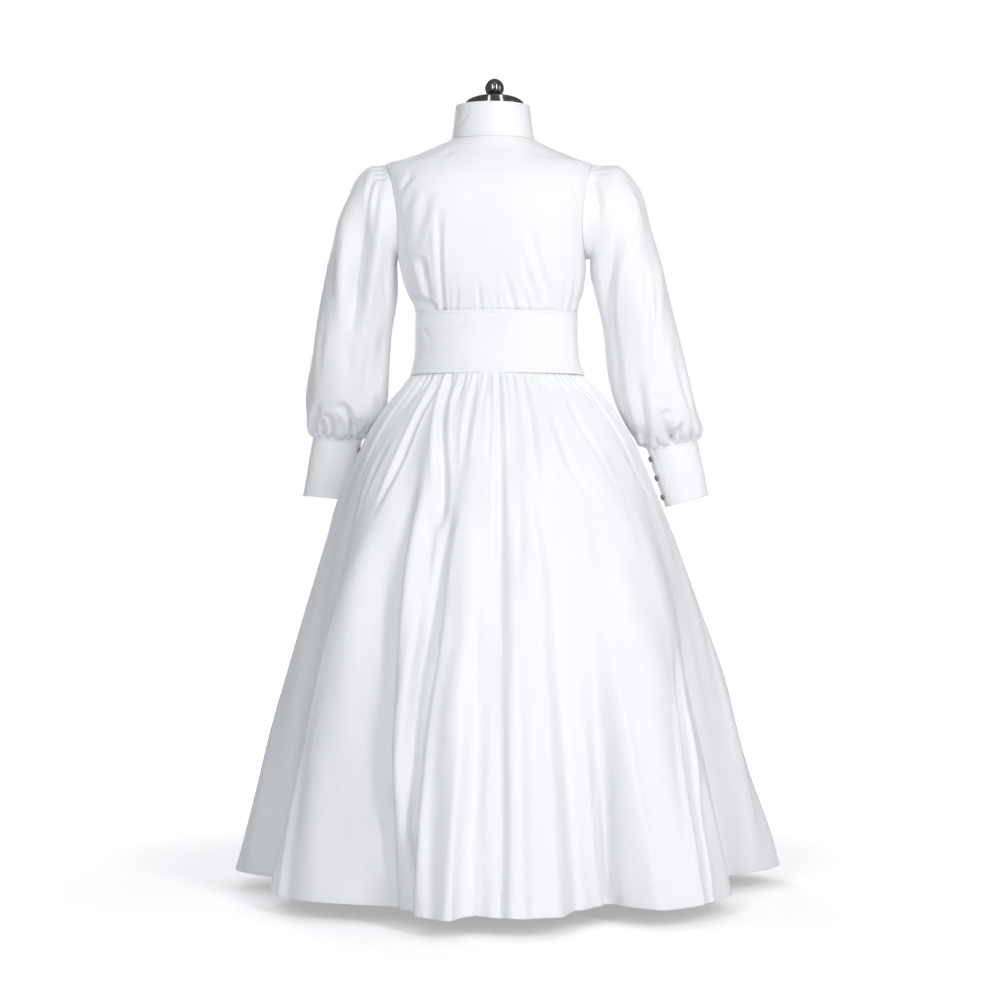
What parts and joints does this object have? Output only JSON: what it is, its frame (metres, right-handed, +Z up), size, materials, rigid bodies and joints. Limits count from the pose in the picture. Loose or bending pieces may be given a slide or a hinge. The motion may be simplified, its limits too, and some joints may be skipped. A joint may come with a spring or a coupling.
{
  "type": "maid dress on a limbless dress form",
  "caption": "High-collared white maid dress with gathered full skirt and bishop sleeves, worn on a limbless dress form with a round base.",
  "frame": {"origin": "on the floor, at the middle of the round base's underside, under the dress form's pole", "axes": "+Z up from the floor to the neck knob; +Y towards the garment's front; -Y towards its back, the side that the picture shows; +X towards the wearer's right"},
  "size_m": [0.9689, 0.9581, 1.418],
  "materials": {
    "white_cloth": "plain white cotton blend with a slight sheen",
    "button_bronze": "aged bronze-coloured metal",
    "form_linen": "plain linen cover",
    "cap_metal": "dark polished metal",
    "stand_metal": "satin black paint"
  },
  "bodies": {
    "root": {"collar": "white_cloth", "bodice_back": "white_cloth", "bodice_front_left": "white_cloth", "bodice_front_right": "white_cloth", "front_placket": "white_cloth", "waistband": "white_cloth", "skirt_back": "white_cloth", "skirt_front": "white_cloth", "sleeve_left": "white_cloth", "sleeve_right": "white_cloth", "cuff_left": "white_cloth", "cuff_right": "white_cloth", "cuff_button_left_1": "button_bronze", "cuff_button_left_2": "button_bronze", "cuff_button_left_3": "button_bronze", "cuff_button_right_1": "button_bronze", "cuff_button_right_2": "button_bronze", "cuff_button_right_3": "button_bronze", "collar_button_1": "button_bronze", "collar_button_2": "button_bronze", "placket_button_1": "button_bronze", "placket_button_2": "button_bronze", "placket_button_3": "button_bronze", "placket_button_4": "button_bronze", "placket_button_5": "button_bronze", "waistband_button_1": "button_bronze", "waistband_button_2": "button_bronze", "waistband_button_3": "button_bronze", "form_torso": "form_linen", "neck_cap": "cap_metal", "neck_knob": "cap_metal", "pole": "stand_metal", "base": "stand_metal"}
  },
  "joints": []
}
